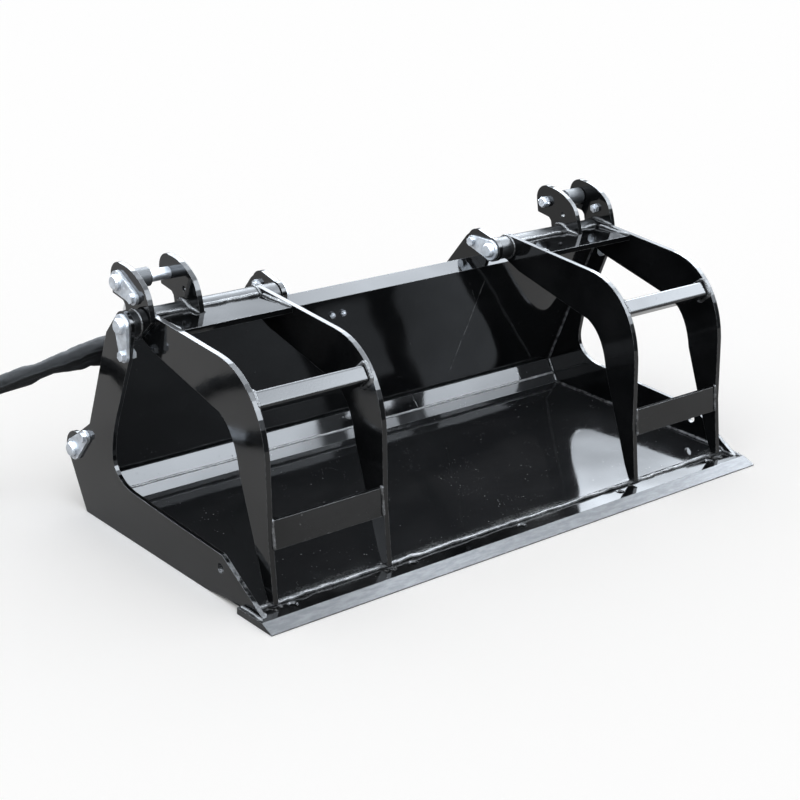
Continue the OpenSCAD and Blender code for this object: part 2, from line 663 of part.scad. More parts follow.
module left_base_hose() color("#202020") placed() tube(smooth_line(left_base_line, 3), hose_r, hose_sides);
module left_rod_hose() color("#202020") placed() tube(smooth_line(left_rod_line, 2), hose_r, hose_sides);
module right_rod_hose() color("#202020") placed() tube(smooth_line(right_rod_line, 2), hose_r, hose_sides);
module right_base_hose() color("#202020") placed() tube(smooth_line(right_base_line, 2), hose_r, hose_sides);

// Supply sleeve: two hoses in a wrinkled cover, free from the manifold to its couplers
sleeve_line = [[-357.3, 580, 297], [-375, 580, 297], [-410, 583, 299], [-450, 590, 301], [-500, 602, 301], [-532, 610, 299],
    [-556, 615, 294], [-584, 626, 283], [-616, 642, 271], [-644, 660, 257], [-669, 682, 243], [-692, 700, 231],
    [-734, 732, 205], [-775, 765, 175], [-815, 798, 137], [-850, 829, 98], [-886, 859, 60], [-927, 889, 31],
    [-974, 916, 17], [-1020, 938, 17]];
coil_turn = 260;
coil_in = unit([-46, 22]);
coil_start = [-1020, 938];
coil_mid = coil_start + coil_r * left_of(coil_in);
coil_a0 = atan2(coil_start[1] - coil_mid[1], coil_start[0] - coil_mid[0]);
module supply_sleeve() color("#17181a") placed() tube(sleeve_line, sleeve_r, 12);

module supply_coil() color("#17181a") placed()
    translate([coil_mid[0], coil_mid[1], sleeve_r]) rotate([0, 0, coil_a0])
        rotate_extrude(angle = coil_turn, $fn = 96) translate([coil_r, 0]) circle(sleeve_r, $fn = 24);

// Two quick couplers, one behind the other, on the ends of the supply hoses
module coupler() {
    cylinder(r = 10, h = 14, $fn = 6);
    translate([0, 0, 13.99]) cylinder(r = 11, h = 12);
    translate([0, 0, 25.98]) cylinder(r = 14, h = 26);
    translate([0, 0, 51.97]) cylinder(r = 12, h = 8);
}

module supply_couplers() color(zinc) placed()
    translate([coil_mid[0], coil_mid[1], 0]) rotate([0, 0, coil_a0 + coil_turn]) translate([coil_r, 0, 0])
        rotate([-90, 0, 0]) {
            translate([-9, -14.2, 0]) {
                cylinder(r = hose_r, h = 20);
                translate([0, 0, 19.99]) coupler();
            }
            translate([12, -14.2, 0]) {
                cylinder(r = hose_r, h = 86);
                translate([0, 0, 85.99]) coupler();
            }
        }

// Grapples and cylinders, left as drawn and right mirrored
module left_outer_arm() color(paint) placed() outer_arm();
module left_inner_arm() color(paint) placed() inner_arm();
module left_pivot_pipe() color(paint) placed() pivot_pipe();
module left_pivot_bushes() color("#b08d4a") placed() pivot_bushes();
module left_top_plate() color(paint) placed() top_plate();
module left_cross_tube() color(paint) placed() cross_tube();
module left_cross_bar() color(paint) placed() cross_bar();
module left_outer_ear() color(paint) placed() outer_ear();
module left_inner_ear() color(paint) placed() inner_ear();
module left_rod_pin() color(zinc) placed() rod_pin();
module left_rod_pin_fasteners() color(zinc) placed() rod_pin_fasteners();
module left_barrel() color(paint) placed() barrel();
module left_gland() color("#55585c") placed() gland();
module left_piston() color("#8a8d90") placed() piston();
module left_rod() color("#e2e4e6") placed() rod();
module left_port_fittings() color(zinc) placed() port_fittings();
module right_outer_arm() color(paint) placed() right() outer_arm();
module right_inner_arm() color(paint) placed() right() inner_arm();
module right_pivot_pipe() color(paint) placed() right() pivot_pipe();
module right_pivot_bushes() color("#b08d4a") placed() right() pivot_bushes();
module right_top_plate() color(paint) placed() right() top_plate();
module right_cross_tube() color(paint) placed() right() cross_tube();
module right_cross_bar() color(paint) placed() right() cross_bar();
module right_outer_ear() color(paint) placed() right() outer_ear();
module right_inner_ear() color(paint) placed() right() inner_ear();
module right_rod_pin() color(zinc) placed() right() rod_pin();
module right_rod_pin_fasteners() color(zinc) placed() right() rod_pin_fasteners();
module right_barrel() color(paint) placed() right() barrel();
module right_gland() color("#55585c") placed() right() gland();
module right_piston() color("#8a8d90") placed() right() piston();
module right_rod() color("#e2e4e6") placed() right() rod();
module right_port_fittings() color(zinc) placed() right() port_fittings();

cutting_edge();
floor_sheet();
back_sheet();
left_side_plate();
right_side_plate();
wear_strips();
left_cylinder_lug();
right_cylinder_lug();
left_hinge_rib();
right_hinge_rib();
left_outer_pivot_pin();
left_inner_pivot_pin();
right_outer_pivot_pin();
right_inner_pivot_pin();
left_base_pin();
right_base_pin();
flag_bolts();
manifold_block();
hydraulic_bolts();
manifold_fittings();
left_base_hose();
left_rod_hose();
right_base_hose();
right_rod_hose();
hose_clip();
supply_sleeve();
supply_coil();
supply_couplers();
left_outer_arm();
left_inner_arm();
left_pivot_pipe();
left_pivot_bushes();
left_top_plate();
left_cross_tube();
left_cross_bar();
left_outer_ear();
left_inner_ear();
left_rod_pin();
left_rod_pin_fasteners();
right_outer_arm();
right_inner_arm();
right_pivot_pipe();
right_pivot_bushes();
right_top_plate();
right_cross_tube();
right_cross_bar();
right_outer_ear();
right_inner_ear();
right_rod_pin();
right_rod_pin_fasteners();
left_barrel();
left_gland();
left_piston();
left_rod();
left_port_fittings();
right_barrel();
right_gland();
right_piston();
right_rod();
right_port_fittings();
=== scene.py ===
"""Looks of the grapple bucket: camera, finishes, supply sleeve, weld beads and a pale studio."""

import json
import math

import bmesh
import bpy
from mathutils import Matrix, Vector, noise

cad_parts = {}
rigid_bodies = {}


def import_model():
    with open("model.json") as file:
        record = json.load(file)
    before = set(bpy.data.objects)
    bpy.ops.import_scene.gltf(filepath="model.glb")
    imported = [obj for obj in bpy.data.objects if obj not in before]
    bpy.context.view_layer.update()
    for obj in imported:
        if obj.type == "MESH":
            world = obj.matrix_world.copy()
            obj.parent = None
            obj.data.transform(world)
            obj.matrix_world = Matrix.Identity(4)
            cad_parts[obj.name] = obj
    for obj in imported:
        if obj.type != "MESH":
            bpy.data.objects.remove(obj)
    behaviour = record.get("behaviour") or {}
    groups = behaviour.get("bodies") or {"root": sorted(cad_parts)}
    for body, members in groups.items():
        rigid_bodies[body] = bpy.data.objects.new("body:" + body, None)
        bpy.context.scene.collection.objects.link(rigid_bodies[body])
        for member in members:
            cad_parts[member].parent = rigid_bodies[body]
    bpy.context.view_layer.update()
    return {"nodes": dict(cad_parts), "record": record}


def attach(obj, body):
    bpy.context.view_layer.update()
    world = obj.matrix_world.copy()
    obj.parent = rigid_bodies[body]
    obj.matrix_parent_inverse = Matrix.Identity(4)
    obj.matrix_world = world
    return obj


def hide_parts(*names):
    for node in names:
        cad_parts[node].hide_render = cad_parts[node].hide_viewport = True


for leftover in list(bpy.data.objects):
    bpy.data.objects.remove(leftover)

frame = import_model()

# The construction's millimetres count Y from the cutting edge's tip, this far ahead of the frame's origin
TIP_TO_ORIGIN = 322.5


def at(x, y, z):
    """A point in the construction's millimetres, as metres in the frame."""
    return Vector((x / 1000, (y - TIP_TO_ORIGIN) / 1000, z / 1000))


def along(y):
    """A Y of the construction, as the frame's Y in metres."""
    return (y - TIP_TO_ORIGIN) / 1000


# Camera, at the photograph's viewing angle
CAMERA_AT = at(-2064.8, -1963.8, 1336.0)
CAMERA_YAW = math.radians(41.13)
CAMERA_PITCH = math.radians(20.77)
CAMERA_ROLL = math.radians(2.28)
CAMERA_LENS = 78.26
SENSOR_WIDTH = 36
FURTHEST_SEEN = 300


def make_camera():
    level_part = math.cos(CAMERA_PITCH)
    forward = Vector((math.sin(CAMERA_YAW) * level_part, math.cos(CAMERA_YAW) * level_part,
                      -math.sin(CAMERA_PITCH)))
    level = forward.cross(Vector((0, 0, 1))).normalized()
    upright = level.cross(forward)
    right = math.cos(CAMERA_ROLL) * level + math.sin(CAMERA_ROLL) * upright
    up = right.cross(forward)
    data = bpy.data.cameras.new("camera")
    data.lens = CAMERA_LENS
    data.sensor_width = SENSOR_WIDTH
    data.clip_end = FURTHEST_SEEN
    camera = bpy.data.objects.new("camera", data)
    turned = Matrix((right, up, -forward)).transposed().to_4x4()
    camera.matrix_world = Matrix.Translation(CAMERA_AT) @ turned
    bpy.context.collection.objects.link(camera)
    bpy.context.scene.camera = camera


make_camera()

# Curves and tubes
ARC_STEPS = 6


def smooth_line(points, steps=ARC_STEPS):
    """A line of Catmull-Rom arcs through the points."""
    line = []
    last = len(points) - 1
    for i in range(last):
        a = points[i - 1] if i else 2 * points[0] - points[1]
        b, c = points[i], points[i + 1]
        d = points[i + 2] if i + 2 <= last else 2 * points[last] - points[last - 1]
        for j in range(steps):
            t = j / steps
            line.append(0.5 * (2 * b + (c - a) * t + (2 * a - 5 * b + 4 * c - d) * t * t
                               + (3 * b - a - 3 * c + d) * t ** 3))
    line.append(points[last].copy())
    return line


def spaced(points, step):
    """The same line with a point every step or so."""
    line = [points[0].copy()]
    for a, b in zip(points, points[1:]):
        count = max(1, round((b - a).length / step))
        line += [a.lerp(b, j / count) for j in range(1, count + 1)]
    return line


def line_length(points):
    return sum((b - a).length for a, b in zip(points, points[1:]))


def new_piece(name, mesh, body, material):
    piece = bpy.data.objects.new(name, mesh)
    bpy.context.collection.objects.link(piece)
    mesh.materials.append(material)
    for face in mesh.polygons:
        face.use_smooth = True
    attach(piece, body)
    return piece


def tube_mesh(name, line, sides, radius_at):
    """A closed tube along line; radius_at(distance, angle) gives its radius."""
    mesh = bpy.data.meshes.new(name)
    shape = bmesh.new()
    normal = Vector((0, 0, 1))
    distance = 0.0
    rings = []
    for i, point in enumerate(line):
        if i:
            distance += (point - line[i - 1]).length
        ahead = line[min(i + 1, len(line) - 1)] - line[max(i - 1, 0)]
        ahead.normalize()
        normal = (normal - ahead * normal.dot(ahead)).normalized()
        side = ahead.cross(normal)
        ring = []
        for k in range(sides):
            angle = 2 * math.pi * k / sides
            outward = math.cos(angle) * normal + math.sin(angle) * side
            ring.append(shape.verts.new(point + outward * radius_at(distance, angle)))
        rings.append(ring)
    for a, b in zip(rings, rings[1:]):
        for k in range(sides):
            shape.faces.new((a[k], a[(k + 1) % sides], b[(k + 1) % sides], b[k]))
    shape.faces.new(reversed(rings[0]))
    shape.faces.new(rings[-1])
    bmesh.ops.recalc_face_normals(shape, faces=shape.faces)
    shape.to_mesh(mesh)
    shape.free()
    return mesh


# Node helpers for the materials
class Finish:
    """A material with a Principled shader, and short calls that add nodes to it."""

    def __init__(self, name):
        self.material = bpy.data.materials.new(name)
        self.material.use_nodes = True
        self.tree = self.material.node_tree
        self.shader = self.tree.nodes["Principled BSDF"]
        self.where = self.add("ShaderNodeTexCoord").outputs["Object"]

    def add(self, kind, **settings):
        made = self.tree.nodes.new(kind)
        for key, value in settings.items():
            setattr(made, key, value)
        return made

    def feed(self, socket, value):
        if isinstance(value, bpy.types.NodeSocket):
            self.tree.links.new(value, socket)
        else:
            socket.default_value = value

    def axes(self, output="Object"):
        """The three coordinates of a texture coordinate output."""
        split = self.add("ShaderNodeSeparateXYZ")
        self.feed(split.inputs[0], self.add("ShaderNodeTexCoord").outputs[output])
        return split.outputs["X"], split.outputs["Y"], split.outputs["Z"]

    def stretch(self, scale):
        mapping = self.add("ShaderNodeMapping")
        self.feed(mapping.inputs["Vector"], self.where)
        mapping.inputs["Scale"].default_value = scale
        return mapping.outputs["Vector"]

    def noise(self, scale, detail=2.0, rough=0.5, vector=None):
        made = self.add("ShaderNodeTexNoise")
        self.feed(made.inputs["Vector"], vector or self.where)
        made.inputs["Scale"].default_value = scale
        made.inputs["Detail"].default_value = detail
        made.inputs["Roughness"].default_value = rough
        return made.outputs["Fac"]

    def cells(self, scale):
        made = self.add("ShaderNodeTexVoronoi")
        self.feed(made.inputs["Vector"], self.where)
        made.inputs["Scale"].default_value = scale
        return made.outputs["Distance"]

    def ramp(self, value, low, high, out_low=0.0, out_high=1.0):
        made = self.add("ShaderNodeMapRange", interpolation_type="SMOOTHSTEP")
        self.feed(made.inputs["Value"], value)
        made.inputs["From Min"].default_value = low
        made.inputs["From Max"].default_value = high
        made.inputs["To Min"].default_value = out_low
        made.inputs["To Max"].default_value = out_high
        return made.outputs["Result"]

    def maths(self, operation, first, *others):
        """A Math node, or a chain of them where there are more than two values."""
        for other in others or (0.0,):
            made = self.add("ShaderNodeMath", operation=operation)
            self.feed(made.inputs[0], first)
            self.feed(made.inputs[1], other)
            first = made.outputs[0]
        return first

    def times(self, *values):
        return self.maths("MULTIPLY", *values)

    def most(self, *values):
        return self.maths("MAXIMUM", *values)

    def minus(self, a, b):
        return self.maths("SUBTRACT", a, b)

    def size(self, value):
        return self.maths("ABSOLUTE", value)

    def mix(self, factor, a, b):
        made = self.add("ShaderNodeMix", data_type="RGBA")
        self.feed(made.inputs["Factor"], factor)
        self.feed(made.inputs[6], a)
        self.feed(made.inputs[7], b)
        return made.outputs[2]

    def bump(self, height, distance, normal=None):
        made = self.add("ShaderNodeBump")
        self.feed(made.inputs["Height"], height)
        made.inputs["Distance"].default_value = distance
        if normal is not None:
            self.feed(made.inputs["Normal"], normal)
        return made.outputs["Normal"]

    def rounded(self, radius):
        """Normals as if the sharp edges had this radius, and a mask of those edges."""
        made = self.add("ShaderNodeBevel", samples=4)
        made.inputs["Radius"].default_value = radius
        flat = self.add("ShaderNodeNewGeometry").outputs["True Normal"]
        alike = self.add("ShaderNodeVectorMath", operation="DOT_PRODUCT")
        self.feed(alike.inputs[0], made.outputs["Normal"])
        self.feed(alike.inputs[1], flat)
        return made.outputs["Normal"], self.ramp(alike.outputs["Value"], 0.998, 0.9)

    def set(self, **values):
        for name, value in values.items():
            self.feed(self.shader.inputs[name.replace("_", " ")], value)


# Black enamel
BLACK = (0.0036, 0.0040, 0.0045, 1)
FLOOR_BLACK = (0.0155, 0.0170, 0.0190, 1)
DUST = (0.08, 0.084, 0.09, 1)
# Pale grey for the plate edges: worn paint and a painted highlight
EDGE_WEAR_AND_HIGHLIGHT = (0.16, 0.167, 0.174, 1)
CHIPPED = (0.42, 0.43, 0.44, 1)
RUBBED = (0.3, 0.31, 0.32, 1)
SCUFF_DARK = (0.06, 0.064, 0.068, 1)
SCUFF_LIGHT = (0.12, 0.126, 0.132, 1)
PAINT_IOR = 1.35
WAVE_HEIGHT = 0.0012
FINE_HEIGHT = 0.00002
CHIP_HEIGHT = 0.0004


def chips(f, spread):
    """Small bright chips and grains in loose groups; a larger spread gives more of them."""
    large = f.times(f.ramp(f.cells(70.0), 0.085, 0.05), f.ramp(f.noise(16.0), 0.53 - spread, 0.6 - spread))
    small = f.times(f.ramp(f.cells(210.0), 0.12, 0.08), f.ramp(f.noise(30.0), 0.6 - spread, 0.66 - spread))
    return f.most(large, small)


def black_paint(name, base=BLACK, specks=0.0, spread=0.0, edge=0.0013, ripple=1.0, dust=0.06, gloss=0.045,
                haze=0.06, scuffed=None, marks=None):
    """Glossy black enamel over plate: faint waves, orange peel, dust, chips, and thin edges lightened in
    colour, partly as worn paint and partly as a painted highlight.
    """
    f = Finish(name)
    normal, edges = f.rounded(edge)
    normal = f.bump(f.noise(5.0, 1.0), WAVE_HEIGHT * ripple, normal)
    normal = f.bump(f.noise(330.0, 1.0), FINE_HEIGHT, normal)
    film = f.ramp(f.noise(7.0, 6.0, 0.7, f.stretch((0.5, 1.0, 1.0))), 0.42, 0.72)
    colour = f.mix(f.times(film, dust), base, DUST)
    broken = f.ramp(f.noise(160.0, 3.0), 0.36, 0.6)
    # Edges lightened in colour: partly worn paint, partly a painted highlight of the gloss on rounded edges
    colour = f.mix(f.times(broken, 0.8, edges), colour, EDGE_WEAR_AND_HIGHLIGHT)
    if specks:
        spots = chips(f, spread)
        colour = f.mix(f.times(spots, specks), colour, CHIPPED)
        normal = f.bump(spots, CHIP_HEIGHT, normal)
    rough = f.most(f.ramp(f.noise(24.0, 5.0, 0.6), 0.35, 0.75, gloss, gloss + haze), f.times(edges, 0.3))
    if scuffed:
        zone = scuffed(f)
        brushed = f.noise(120.0, 5.0, 0.65, f.stretch((0.25, 1.0, 1.0)))
        colour = f.mix(zone, colour, f.mix(f.ramp(brushed, 0.35, 0.7), SCUFF_DARK, SCUFF_LIGHT))
        rough = f.most(rough, f.times(zone, 0.42))
        normal = f.bump(f.times(brushed, zone), 0.0001, normal)
    if marks:
        zone = marks(f)
        colour = f.mix(zone, colour, RUBBED)
        rough = f.most(rough, f.times(zone, 0.5))
    f.set(Base_Color=colour, Roughness=rough, IOR=PAINT_IOR, Normal=normal)
    return f.material


# Where the enamel is scuffed or marked
BEVEL_END = 29
ARM_MIDDLES = (0.551, 0.310)
ARM_TIP_Y = 62
FLOOR_BEAD_Y = 68
SLOPE_FROM = 175
SLOPE_FULL = 130


def on_bevel(f):
    """The cutting edge's bevel: faces that lean forward and up, in front of the holes."""
    lean = f.ramp(f.axes("Normal")[1], -0.15, -0.3)
    return f.times(lean, f.ramp(f.axes()[1], along(BEVEL_END), along(BEVEL_END - 1)))


def on_front_slope(f):
    """A side plate's narrow sloping edge, down to the cutting edge."""
    front = f.ramp(f.axes()[1], along(SLOPE_FROM), along(SLOPE_FULL))
    upward = f.ramp(f.axes("Normal")[2], 0.3, 0.6)
    return f.times(front, upward, f.ramp(f.noise(70.0, 4.0, 0.65), 0.42, 0.6))


def tip_marks(f):
    """Rubbed rings where the arm tips come down."""
    x, y = f.axes()[:2]
    across = f.maths("MINIMUM", *(f.size(f.minus(f.size(x), middle)) for middle in ARM_MIDDLES))
    back = f.minus(y, along(ARM_TIP_Y))
    reach = f.maths("SQRT", f.maths("ADD", f.times(across, across), f.times(back, back)))
    ring_mask = f.times(f.ramp(reach, 0.0075, 0.0105), f.ramp(reach, 0.019, 0.0135))
    return f.times(ring_mask, f.ramp(f.noise(130.0, 4.0, 0.65), 0.44, 0.62, 0.0, 0.5))


def floor_marks(f):
    """The tips' rings, and a patchy film of spatter and rubbing along the bead behind the cutting edge."""
    off = f.size(f.minus(f.axes()[1], along(FLOOR_BEAD_Y)))
    patchy = f.ramp(f.noise(9.0, 6.0, 0.72, f.stretch((0.7, 1.6, 1.0))), 0.42, 0.68, 0.08, 1.0)
    fine = f.ramp(f.noise(260.0, 4.0, 0.7), 0.42, 0.62, 0.15, 1.0)
    film = f.times(f.ramp(off, 0.021, 0.001), patchy, fine)
    return f.most(tip_marks(f), f.times(film, 0.6))


def line_mark(f, start, end, width, strength, fade=0.05, wobble=0.012):
    """A faint line between two points of X and Z, in metres."""
    place = f.axes()
    run, rise = end[0] - start[0], end[1] - start[1]
    length = math.hypot(run, rise)
    dx, dz = f.minus(place[0], start[0]), f.minus(place[2], start[1])
    off = f.maths("ADD", f.times(dx, rise / length), f.times(dz, -run / length))
    on = f.maths("ADD", f.times(dx, run / length), f.times(dz, rise / length))
    wave = f.times(f.minus(f.noise(9.0, 3.0), 0.5), wobble)
    near = f.ramp(f.size(f.maths("ADD", off, wave)), width, width * 0.4)
    inside = f.times(f.ramp(on, 0.0, fade * 0.4), f.ramp(on, length, length - fade))
    broken = f.ramp(f.noise(60.0, 4.0), 0.4, 0.6, 0.15, 1.0)
    return f.times(near, inside, broken, strength)


def sheet_marks(f):
    """The back sheet's scratches: the rib's heat line first, and two short lines on the bent strip last."""
    lines = [line_mark(f, (0.271, 0.090), (0.279, 0.335), 0.0020, 0.3),
             line_mark(f, (0.230, 0.330), (0.290, 0.255), 0.0012, 0.1),
             line_mark(f, (-0.300, 0.110), (-0.285, 0.165), 0.001, 0.12)]
    for x in (0.181, 0.478):
        lines.append(line_mark(f, (x, 0.065), (x + 0.006, 0.038), 0.0011, 0.8, 0.004, 0.002))
    return f.most(*lines)


# Metals, rubber and cloth
# Pale colour for a painted highlight on the zinc's edges
ZINC_EDGE_HIGHLIGHT = (0.7, 0.71, 0.73, 1)
PRIMER_DARK = (0.026, 0.029, 0.032, 1)
PRIMER_LIGHT = (0.045, 0.049, 0.053, 1)
CHROME_LIGHT = (0.62, 0.63, 0.65, 1)
CHROME_DARK = (0.5, 0.51, 0.53, 1)
RUBBER_BLACK = (0.008, 0.008, 0.008, 1)
RUBBER_DUSTY = (0.03, 0.029, 0.028, 1)
CLOTH_DARK = (0.004, 0.0044, 0.0048, 1)
CLOTH_LIGHT = (0.021, 0.0225, 0.024, 1)
SPATTER = (0.34, 0.35, 0.36, 1)
EYE_RADIUS = 0.0215
EYE_SOFTNESS = 0.001


def zinc_plate(name, tone):
    """Bright zinc with a soft grain, dull patches and a painted highlight along its edges."""
    f = Finish(name)
    normal, edges = f.rounded(0.0005)
    light = (tone * 0.96, tone, tone * 1.05, 1)
    dull = (tone * 0.68, tone * 0.72, tone * 0.77, 1)
    colour = f.mix(f.ramp(f.noise(90.0, 4.0, 0.6), 0.35, 0.7), light, dull)
    # Painted highlight: the edges are lightened in colour
    colour = f.mix(f.times(edges, 0.3), colour, ZINC_EDGE_HIGHLIGHT)
    f.set(Base_Color=colour, Metallic=0.9, Roughness=f.ramp(f.noise(140.0, 4.0), 0.3, 0.7, 0.38, 0.55),
          Normal=f.bump(f.noise(700.0), 0.00005, normal))
    return f.material


def machined(name, colour, rough, metallic=1.0):
    """Turned metal, with grooves round the X axis."""
    f = Finish(name)
    normal = f.rounded(0.0008)[0]
    turned = f.noise(260.0, 3.0, vector=f.stretch((6.0, 1.0, 1.0)))
    shade = f.mix(f.ramp(turned, 0.35, 0.7), (*colour, 1), (*(c * 0.75 for c in colour), 1))
    f.set(Base_Color=shade, Metallic=metallic, Roughness=f.ramp(turned, 0.3, 0.7, rough, rough + 0.12),
          Normal=f.bump(turned, FINE_HEIGHT, normal))
    return f.material


def rod_finish(name, eye):
    """Chromed rod, with its welded eye in grey primer."""
    f = Finish(name)
    normal = f.rounded(0.0008)[0]
    across = f.add("ShaderNodeVectorMath", operation="SUBTRACT")
    f.feed(across.inputs[0], f.where)
    across.inputs[1].default_value = eye
    flat = f.add("ShaderNodeVectorMath", operation="MULTIPLY")
    f.feed(flat.inputs[0], across.outputs[0])
    flat.inputs[1].default_value = (0, 1, 1)
    away = f.add("ShaderNodeVectorMath", operation="LENGTH")
    f.feed(away.inputs[0], flat.outputs[0])
    primer = f.ramp(away.outputs["Value"], EYE_RADIUS + EYE_SOFTNESS, EYE_RADIUS - EYE_SOFTNESS)
    turned = f.noise(260.0, 3.0)
    grey = f.mix(f.ramp(f.noise(60.0, 4.0), 0.35, 0.7), PRIMER_DARK, PRIMER_LIGHT)
    bright = f.mix(f.ramp(turned, 0.35, 0.7), CHROME_LIGHT, CHROME_DARK)
    f.set(Base_Color=f.mix(primer, bright, grey), Metallic=f.minus(1.0, primer),
          Roughness=f.maths("ADD", 0.1, f.times(primer, 0.4)), Specular_IOR_Level=0.3,
          Normal=f.bump(turned, FINE_HEIGHT, normal))
    return f.material


def rubber(name):
    """Hose rubber with a fine grain and some dust."""
    f = Finish(name)
    grain = f.noise(900.0)
    f.set(Base_Color=f.mix(f.ramp(f.noise(20.0, 4.0), 0.45, 0.7), RUBBER_BLACK, RUBBER_DUSTY),
          Roughness=f.ramp(grain, 0.3, 0.7, 0.45, 0.62), Specular_IOR_Level=0.25,
          Normal=f.bump(grain, 0.00006))
    return f.material


def woven(name):
    """Black nylon sleeve: a fine weave with a slight sheen."""
    f = Finish(name)
    bands = f.add("ShaderNodeTexWave", wave_type="BANDS", bands_direction="DIAGONAL")
    f.feed(bands.inputs["Vector"], f.where)
    bands.inputs["Scale"].default_value = 260.0
    bands.inputs["Distortion"].default_value = 1.5
    weave = f.times(bands.outputs["Fac"], f.noise(600.0))
    f.set(Base_Color=f.mix(weave, CLOTH_DARK, CLOTH_LIGHT), Roughness=0.6, Specular_IOR_Level=0.1,
          Sheen_Weight=0.05, Sheen_Roughness=0.4, Normal=f.bump(weave, 0.0004))
    return f.material


def weld_paint(name, crest_level, low=0.15):
    """Painted weld with spatter: its crests are rubbed light to the first level given, and the rest is that
    times low. Where these levels are high, the light colour is a painted highlight as well as rubbed paint.
    """
    f = Finish(name)
    rubbed = f.ramp(f.noise(45.0, 5.0, 0.65), 0.42, 0.62)
    grains = f.ramp(f.cells(420.0), 0.22, 0.1)
    crest = (crest_level, crest_level * 1.04, crest_level * 1.09, 1)
    hollow = (*(c * low for c in crest[:3]), 1)
    colour = f.mix(f.times(grains, 0.5), f.mix(rubbed, hollow, crest), SPATTER)
    f.set(Base_Color=colour, Roughness=f.ramp(f.noise(80.0, 3.0), 0.35, 0.7, 0.18, 0.42), IOR=1.45,
          Normal=f.bump(f.noise(500.0, 3.0), 0.0001))
    return f.material


ROD_EYE = (532, 491, 456)

paint = black_paint("black_paint")
sheet_paint = black_paint("black_paint_sheet", specks=0.25, ripple=1.6, dust=0.05, haze=0.04,
                          marks=sheet_marks)
floor_paint = black_paint("black_paint_floor", base=FLOOR_BLACK, specks=0.9, spread=0.03, ripple=1.4,
                          dust=0.16, marks=floor_marks)
edge_paint = black_paint("black_paint_edge", specks=0.5, edge=0.0008, dust=0.5, scuffed=on_bevel,
                         marks=floor_marks)
side_paint = black_paint("black_paint_side", scuffed=on_front_slope)
bar_paint = black_paint("black_paint_bar", specks=0.35, dust=0.1)
pipe_paint = black_paint("black_paint_pipe", dust=0.4, gloss=0.3, haze=0.15)
bead_paint = weld_paint("black_paint_bead", 0.11)
# The floor-edge and back-foot bead finishes below are lighter: partly rubbed paint, partly a painted
# highlight along the bead
rubbed_highlit_bead = weld_paint("black_paint_rubbed_bead", 0.22, 0.2)
highlit_foot_bead = weld_paint("black_paint_foot_bead", 0.36, 0.7)
sleeve_cloth = woven("woven_sleeve")

FINISH_OF_SLOT = {
    "black_paint": paint,
    "zinc": zinc_plate("zinc", 0.43),
    "chrome": rod_finish("chrome_left", at(-ROD_EYE[0], ROD_EYE[1], ROD_EYE[2])),
    "dark_steel": machined("dark_steel", (0.12, 0.12, 0.125), 0.32),
    "bronze": machined("bronze", (0.42, 0.28, 0.13), 0.3),
    "grey_block": machined("grey_block", (0.05, 0.05, 0.053), 0.35, 0.4),
    "rubber": rubber("rubber"),
    "woven_sleeve": sleeve_cloth,
}
FINISH_OF_NODE = {
    "floor_sheet": floor_paint,
    "cutting_edge": edge_paint,
    "back_sheet": sheet_paint,
    "right_rod": rod_finish("chrome_right", at(*ROD_EYE)),
}
for side in ("left", "right"):
    FINISH_OF_NODE[f"{side}_side_plate"] = side_paint
    FINISH_OF_NODE[f"{side}_pivot_pipe"] = pipe_paint
    FINISH_OF_NODE[f"{side}_cross_bar"] = bar_paint
    FINISH_OF_NODE[f"{side}_cross_tube"] = bar_paint

for part in frame["record"]["subparts"]:
    finish = FINISH_OF_NODE.get(part["node"], FINISH_OF_SLOT[part["material_slot"]])
    for place in frame["nodes"][part["node"]].material_slots:
        place.material = finish


# Supply sleeve: a free cord from the manifold to its couplers, in the construction's millimetres
SLEEVE_R = 17.0
COIL_R = 180.0
COIL_TURN = 260.0
COIL_STEPS = 72
SLEEVE_LINE = [(-357.3, 580, 297), (-375, 580, 297), (-410, 583, 299), (-450, 590, 301), (-500, 602, 301),
               (-532, 610, 299), (-556, 615, 294), (-584, 626, 283), (-616, 642, 271), (-644, 660, 257),
               (-669, 682, 243), (-692, 700, 231), (-734, 732, 205), (-775, 765, 175), (-815, 798, 137),
               (-850, 829, 98), (-886, 859, 60), (-927, 889, 31), (-974, 916, 17), (-1020, 938, 17)]


def sleeve_path():
    free = smooth_line([at(*p) for p in SLEEVE_LINE])
    for point in free:
        point.z = max(point.z, SLEEVE_R / 1000)
    start = Vector(SLEEVE_LINE[-1][:2])
    heading = (start - Vector(SLEEVE_LINE[-2][:2])).normalized()
    middle = start + COIL_R * Vector((-heading.y, heading.x))
    first = math.atan2(start.y - middle.y, start.x - middle.x)
    coil = []
    for i in range(1, COIL_STEPS + 1):
        angle = first + math.radians(COIL_TURN) * i / COIL_STEPS
        coil.append(at(middle.x + COIL_R * math.cos(angle), middle.y + COIL_R * math.sin(angle), SLEEVE_R))
    return free + coil


def between(pairs, value):
    """The value at a place along pairs of (place, value), in straight steps."""
    if value <= pairs[0][0]:
        return pairs[0][1]
    for (a, va), (b, vb) in zip(pairs, pairs[1:]):
        if value <= b:
            return va + (vb - va) * (value - a) / (b - a)
    return pairs[-1][1]


def clamped(value):
    return min(1.0, max(0.0, value))


def wave_at(*place):
    return noise.noise(Vector(place))


# How far the sleeve's overlap hangs below it, and how wide the sleeve is drawn in, by the distance along it
SLEEVE_FLAP = [(0, 0), (110, 0), (155, 15), (185, 18), (205, 15), (232, 9), (255, 4), (272, 0), (300, 0),
               (318, 4), (345, 3), (375, 1), (420, 0)]
SLEEVE_WAIST = [(230, 1.0), (268, 0.88), (287, 0.78), (300, 0.8), (325, 0.95), (380, 0.92), (460, 1.0)]
SLEEVE_STEP = 0.003
SLEEVE_SIDES = 60
FLAP_SIDES = 28
FLAP_HALF_WIDTH = 0.009
